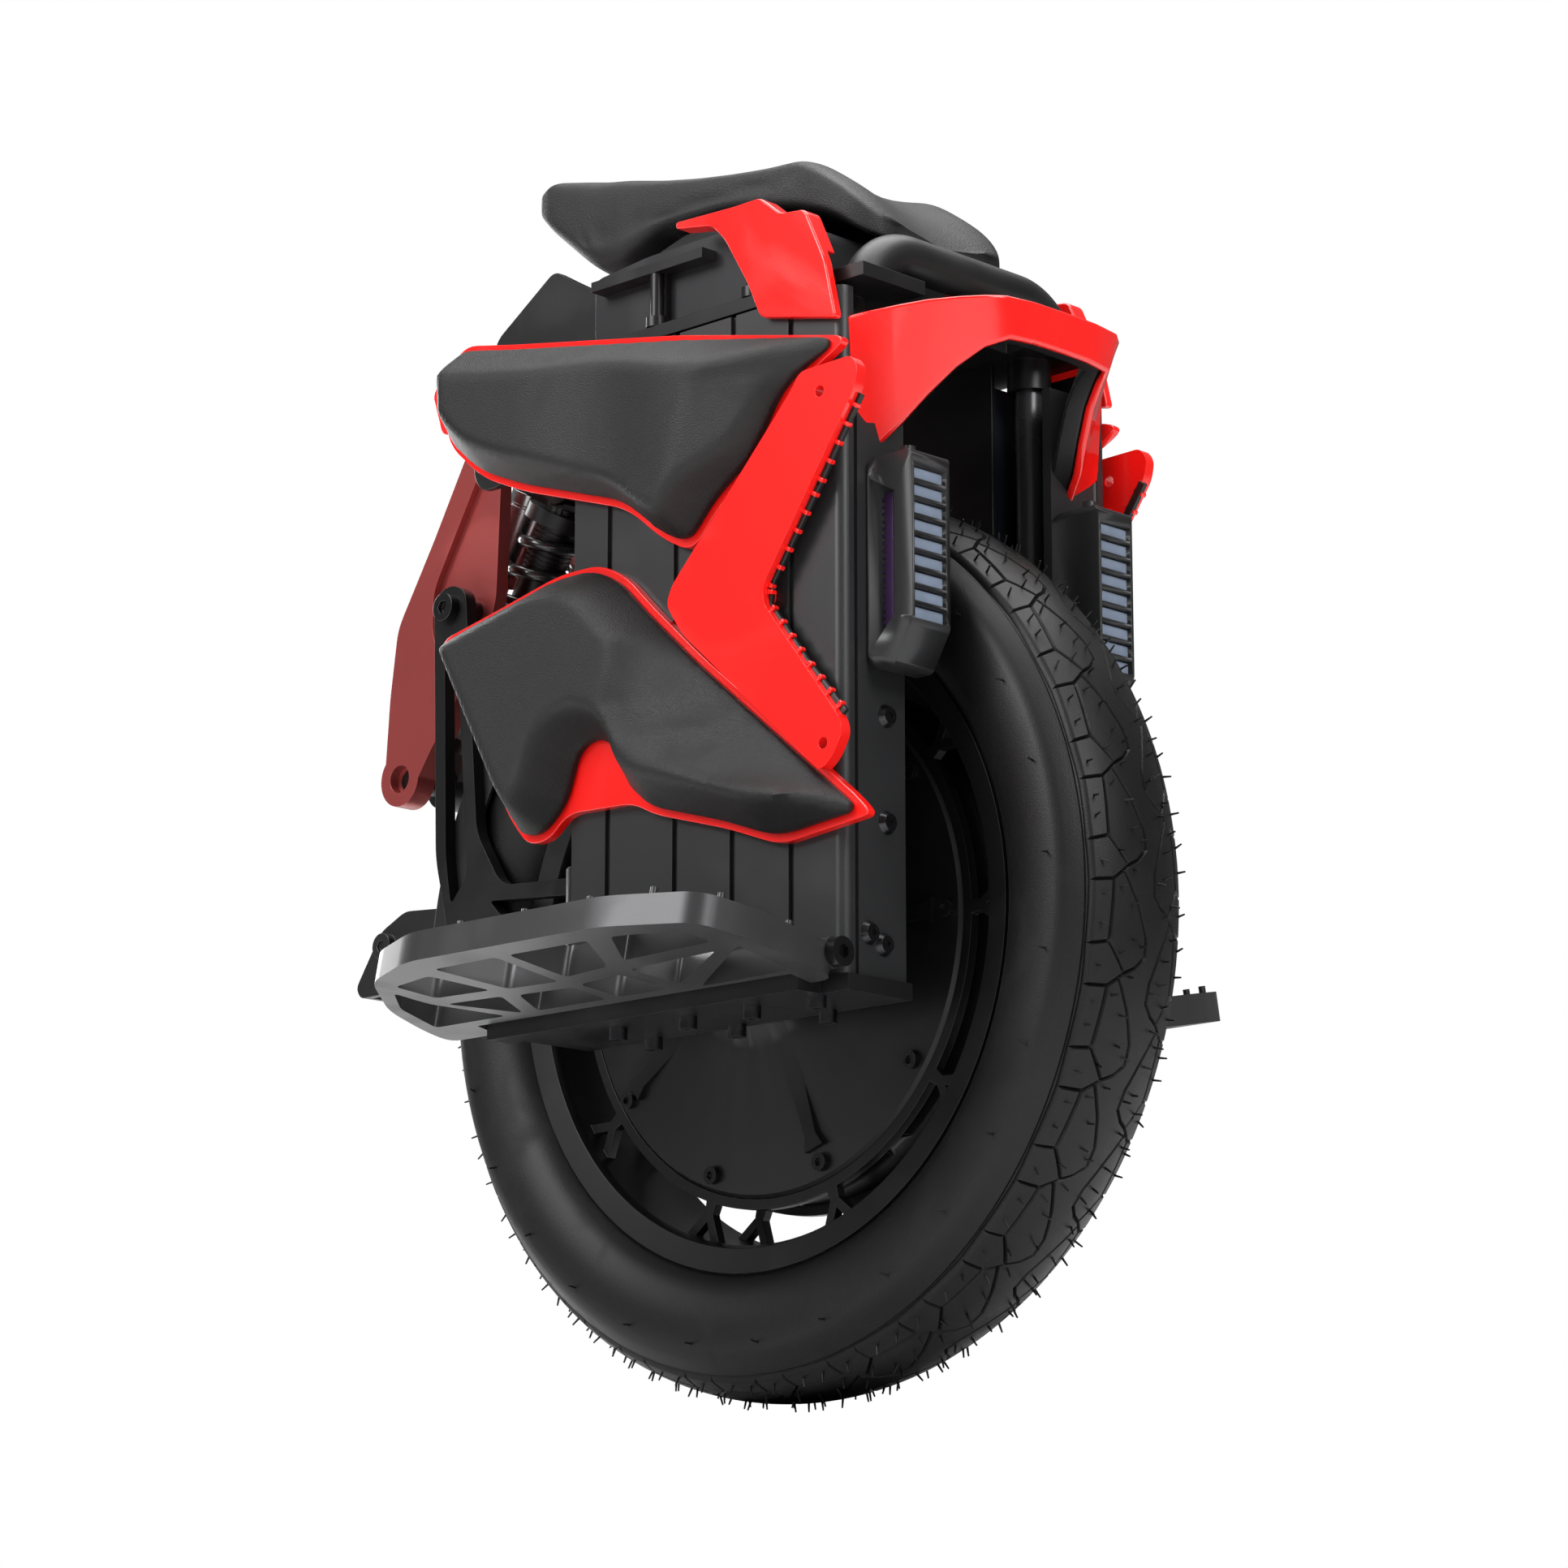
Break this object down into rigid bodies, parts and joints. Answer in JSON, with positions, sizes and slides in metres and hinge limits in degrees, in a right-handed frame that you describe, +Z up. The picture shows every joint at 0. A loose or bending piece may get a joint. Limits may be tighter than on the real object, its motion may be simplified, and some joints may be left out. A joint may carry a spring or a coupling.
{
  "type": "electric unicycle",
  "caption": "Self-balancing electric unicycle with sprung body, motor wheel, folding pedals, padded sides, seat, grab handle and lamps.",
  "frame": {"origin": "on the ground under the middle of the axle, at full droop of the suspension", "axes": "+X forwards in the direction of travel, +Y to the rider's left, +Z up"},
  "size_m": [0.598, 0.457, 0.7213],
  "materials": {
    "tyre": "matte",
    "black_metal": "satin",
    "dark_metal": "satin",
    "grey_metal": "anodised satin",
    "silver_metal": "satin",
    "steel": "ground",
    "purple_metal": "anodised",
    "red_gloss": "gloss",
    "red_matt": "matte",
    "black_plastic": "satin",
    "foam": "grained skin over foam",
    "lens": "clear",
    "battery_wrap": "matte",
    "copper": "varnished"
  },
  "bodies": {
    "chassis": {"upper_shock_pin": "steel", "shock_spring": "black_metal", "stanchions": "steel", "deck": "dark_metal", "controller": "black_metal", "top_shell": "grey_metal", "charge_port": "steel", "rear_brackets": "dark_metal", "side_panel_right": "grey_metal", "side_panel_left": "grey_metal", "front_plates": "dark_metal", "well_walls": "black_plastic", "batteries": "battery_wrap", "sills": "dark_metal", "frame_screws": "steel", "seat": "foam", "seat_posts": "dark_metal", "side_arches": "red_gloss", "grab_handle": "black_plastic", "bumper": "red_gloss", "bumper_liner": "black_plastic", "pod_right": "grey_metal", "pod_left": "grey_metal", "pod_lenses": "lens", "pod_strips": "purple_metal", "upper_pad_right": "foam", "upper_pad_left": "foam", "lower_pad_right": "foam", "lower_pad_left": "foam", "pad_carriers_right": "red_gloss", "pad_carriers_left": "red_gloss", "lock_plates": "red_gloss", "pedal_pins": "steel"},
    "carriage": {"axle": "steel", "stator": "copper", "carriage_arm_right": "black_metal", "carriage_arm_left": "black_metal", "sliders": "dark_metal", "rear_link_right": "red_matt", "rear_link_left": "red_matt", "link_bolts": "dark_metal", "lower_shock_pin": "dark_metal", "mudguard": "black_plastic", "tail_foot": "dark_metal"},
    "wheel": {"tyre": "tyre", "rim": "black_metal", "motor_case": "black_metal", "motor_covers": "black_metal", "cover_screws": "dark_metal", "wheel_bearings": "steel", "valve_stem": "black_plastic"},
    "shock_lower": {"shock_clevis": "dark_metal", "shock_rod": "steel", "rebound_knob": "red_gloss"},
    "shock_upper": {"shock_body": "black_metal", "shock_reservoir": "silver_metal"},
    "pedal_r": {"pedal_right": "silver_metal"},
    "pedal_l": {"pedal_left": "silver_metal"},
    "inlet_cap": {"charge_cap": "black_plastic"},
    "button": {"power_button": "red_gloss"}
  },
  "joints": [
    {"name": "suspension", "type": "slide", "parent": "chassis", "child": "carriage", "axis": [0, 0, 1], "range_m": [0, 0.07], "stiffness_N_per_m": 9000, "springref_m": -0.02, "deforming": ["shock_spring"]},
    {"name": "wheel_spin", "type": "hinge", "parent": "carriage", "child": "wheel", "pos_m": [0, 0, 0.255], "axis": [0, 1, 0], "continuous": true},
    {"name": "shock_upper_pivot", "type": "hinge", "parent": "chassis", "child": "shock_upper", "pos_m": [-0.187, 0, 0.56], "axis": [0, 1, 0], "range_deg": [-1, 16]},
    {"name": "shock_lower_pivot", "type": "hinge", "parent": "carriage", "child": "shock_lower", "pos_m": [-0.29, 0, 0.388], "axis": [0, 1, 0], "range_deg": [-1, 16]},
    {"name": "pedal_right_fold", "type": "hinge", "parent": "chassis", "child": "pedal_r", "pos_m": [0, -0.121, 0.218], "axis": [-1, 0, 0], "range_deg": [0, 50]},
    {"name": "pedal_left_fold", "type": "hinge", "parent": "chassis", "child": "pedal_l", "pos_m": [0, 0.121, 0.218], "axis": [1, 0, 0], "range_deg": [0, 50]},
    {"name": "charge_cap_hinge", "type": "hinge", "parent": "chassis", "child": "inlet_cap", "pos_m": [0.0971, -0.03, 0.63], "axis": [0, -1, 0], "range_deg": [0, 30]},
    {"name": "power_press", "type": "slide", "parent": "chassis", "child": "button", "axis": [-1, 0, 0], "range_m": [0, 0.002], "stiffness_N_per_m": 800, "springref_m": -0.001}
  ],
  "couplings": [
    {"joint": "shock_upper_pivot", "follows": "suspension", "rad_per_m": 3.4},
    {"joint": "shock_lower_pivot", "follows": "suspension", "rad_per_m": 3.4}
  ]
}
